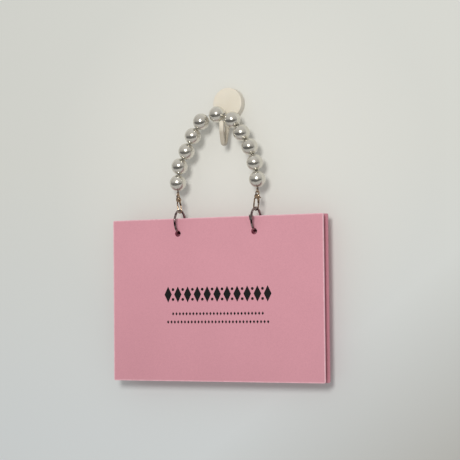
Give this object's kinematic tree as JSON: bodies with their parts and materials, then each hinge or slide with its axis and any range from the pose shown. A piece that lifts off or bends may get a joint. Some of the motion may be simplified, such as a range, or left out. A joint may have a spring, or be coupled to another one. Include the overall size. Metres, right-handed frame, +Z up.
{
  "type": "hanging ring album with bead handle",
  "caption": "Landscape ring album of covers and leaves on two loose-leaf rings, hung by lobster clasps and a bead strand from a round adhesive wall hook.",
  "frame": {"origin": "middle of the adhesive pad's back face, on the wall", "axes": "+Z up, +X to the right seen from the front, the covers face -Y and the wall is the plane Y = 0"},
  "size_m": [0.2216, 0.0313, 0.2795],
  "materials": {
    "hook_plastic": "cream moulded plastic, satin",
    "pad_foam": "white foam tape",
    "pearl": "pearlescent ivory lacquer",
    "line_nylon": "clear nylon line",
    "gold": "polished gold plate",
    "spring_steel": "bright spring wire",
    "nickel": "bright nickel plate",
    "cover_board": "pink laminated board, matt",
    "leaf_card": "dusky card"
  },
  "bodies": {
    "wall_hook": {"hook_body": "hook_plastic", "adhesive_pad": "pad_foam"},
    "strand_top": {"pearl_05": "pearl", "pearl_06": "pearl", "pearl_07": "pearl", "bead_line": "line_nylon"},
    "strand_level_1": {"pearl_04": "pearl", "pearl_08": "pearl"},
    "strand_level_2": {"pearl_03": "pearl", "pearl_09": "pearl"},
    "strand_level_3": {"pearl_02": "pearl", "pearl_10": "pearl"},
    "strand_level_4": {"pearl_01": "pearl", "pearl_11": "pearl", "left_crimp": "gold", "right_crimp": "gold", "left_jump_ring": "gold", "right_jump_ring": "gold"},
    "clasps": {"left_clasp_body": "gold", "left_clasp_rivet": "gold", "left_clasp_spring": "spring_steel", "right_clasp_body": "gold", "right_clasp_rivet": "gold", "right_clasp_spring": "spring_steel"},
    "left_lever": {"left_clasp_lever": "gold"},
    "right_lever": {"right_clasp_lever": "gold"},
    "album": {"left_ring_lower": "nickel", "right_ring_lower": "nickel", "left_ring_pin": "nickel", "right_ring_pin": "nickel", "back_cover": "cover_board"},
    "left_ring_gate": {"left_ring_upper": "nickel"},
    "right_ring_gate": {"right_ring_upper": "nickel"},
    "front_sheet": {"front_cover": "cover_board"},
    "sheet_1": {"leaf_1": "leaf_card"},
    "sheet_2": {"leaf_2": "leaf_card"},
    "sheet_3": {"leaf_3": "leaf_card"},
    "sheet_4": {"leaf_4": "leaf_card"},
    "sheet_5": {"leaf_5": "leaf_card"},
    "sheet_6": {"leaf_6": "leaf_card"}
  },
  "joints": [
    {"name": "sway", "type": "hinge", "parent": "wall_hook", "child": "strand_top", "pos_m": [0, -0.0185, -0.02], "axis": [0, 1, 0], "range_deg": [-12, 12]},
    {"name": "strand_curl_1", "type": "hinge", "parent": "strand_top", "child": "strand_level_1", "pos_m": [-0.00628, -0.0185, -0.02407], "axis": [1, 0, 0.0018], "range_deg": [-9, 0], "deforming": ["bead_line"]},
    {"name": "strand_curl_2", "type": "hinge", "parent": "strand_level_1", "child": "strand_level_2", "pos_m": [-0.00581, -0.0185, -0.03763], "axis": [0.9999, 0, 0.0106], "range_deg": [-9, 0], "deforming": ["bead_line"]},
    {"name": "strand_curl_3", "type": "hinge", "parent": "strand_level_2", "child": "strand_level_3", "pos_m": [-0.00607, -0.0185, -0.05196], "axis": [1, 0, 0.0065], "range_deg": [-9, 0], "deforming": ["bead_line"]},
    {"name": "strand_curl_4", "type": "hinge", "parent": "strand_level_3", "child": "strand_level_4", "pos_m": [-0.00656, -0.0185, -0.0672], "axis": [1, 0, -0.0005], "range_deg": [-9, 0], "deforming": ["bead_line"]},
    {"name": "clasp_swing", "type": "hinge", "parent": "strand_level_4", "child": "clasps", "pos_m": [-0.00643, -0.0185, -0.08592], "axis": [1, 0, 0], "range_deg": [-25, 2]},
    {"name": "album_tilt", "type": "hinge", "parent": "clasps", "child": "album", "pos_m": [-0.00643, -0.0185, -0.10395], "axis": [1, 0, 0], "range_deg": [-16, 3]},
    {"name": "cover_flip", "type": "hinge", "parent": "album", "child": "front_sheet", "pos_m": [-0.00643, -0.0185, -0.1126], "axis": [-1, 0, 0], "range_deg": [0, 88]},
    {"name": "leaf_1_flip", "type": "hinge", "parent": "album", "child": "sheet_1", "pos_m": [-0.00643, -0.0185, -0.1126], "axis": [-1, 0, 0], "range_deg": [0, 75.44]},
    {"name": "leaf_2_flip", "type": "hinge", "parent": "album", "child": "sheet_2", "pos_m": [-0.00643, -0.0185, -0.1126], "axis": [-1, 0, 0], "range_deg": [0, 62.87]},
    {"name": "leaf_3_flip", "type": "hinge", "parent": "album", "child": "sheet_3", "pos_m": [-0.00643, -0.0185, -0.1126], "axis": [-1, 0, 0], "range_deg": [0, 50.3]},
    {"name": "leaf_4_flip", "type": "hinge", "parent": "album", "child": "sheet_4", "pos_m": [-0.00643, -0.0185, -0.1126], "axis": [-1, 0, 0], "range_deg": [0, 37.72]},
    {"name": "leaf_5_flip", "type": "hinge", "parent": "album", "child": "sheet_5", "pos_m": [-0.00643, -0.0185, -0.1126], "axis": [-1, 0, 0], "range_deg": [0, 25.15]},
    {"name": "leaf_6_flip", "type": "hinge", "parent": "album", "child": "sheet_6", "pos_m": [-0.00643, -0.0185, -0.1126], "axis": [-1, 0, 0], "range_deg": [0, 12.58]},
    {"name": "left_ring_opening", "type": "hinge", "parent": "album", "child": "left_ring_gate", "pos_m": [-0.04643, -0.00715, -0.11019], "axis": [1, 0, 0], "range_deg": [-9, 0]},
    {"name": "left_lever_press", "type": "hinge", "parent": "clasps", "child": "left_lever", "pos_m": [-0.04657, -0.01905, -0.09129], "axis": [0.4192, 0.9063, 0.0538], "range_deg": [0, 17], "stiffness_Nm_per_rad": 0.005, "springref_deg": -11.46, "deforming": ["left_clasp_spring"]},
    {"name": "right_ring_opening", "type": "hinge", "parent": "album", "child": "right_ring_gate", "pos_m": [0.03357, -0.02985, -0.11019], "axis": [-1, 0, 0], "range_deg": [-9, 0]},
    {"name": "right_lever_press", "type": "hinge", "parent": "clasps", "child": "right_lever", "pos_m": [0.03617, -0.0185, -0.0916], "axis": [0, 1, 0], "range_deg": [0, 17], "stiffness_Nm_per_rad": 0.005, "springref_deg": -11.46, "deforming": ["right_clasp_spring"]}
  ],
  "couplings": [
    {"joint": "strand_curl_2", "follows": "strand_curl_1", "ratio": 1},
    {"joint": "strand_curl_3", "follows": "strand_curl_1", "ratio": 1},
    {"joint": "strand_curl_4", "follows": "strand_curl_1", "ratio": 1},
    {"joint": "leaf_1_flip", "follows": "cover_flip", "ratio": 0.85714},
    {"joint": "leaf_2_flip", "follows": "cover_flip", "ratio": 0.71429},
    {"joint": "leaf_3_flip", "follows": "cover_flip", "ratio": 0.57143},
    {"joint": "leaf_4_flip", "follows": "cover_flip", "ratio": 0.42857},
    {"joint": "leaf_5_flip", "follows": "cover_flip", "ratio": 0.28571},
    {"joint": "leaf_6_flip", "follows": "cover_flip", "ratio": 0.14286}
  ]
}
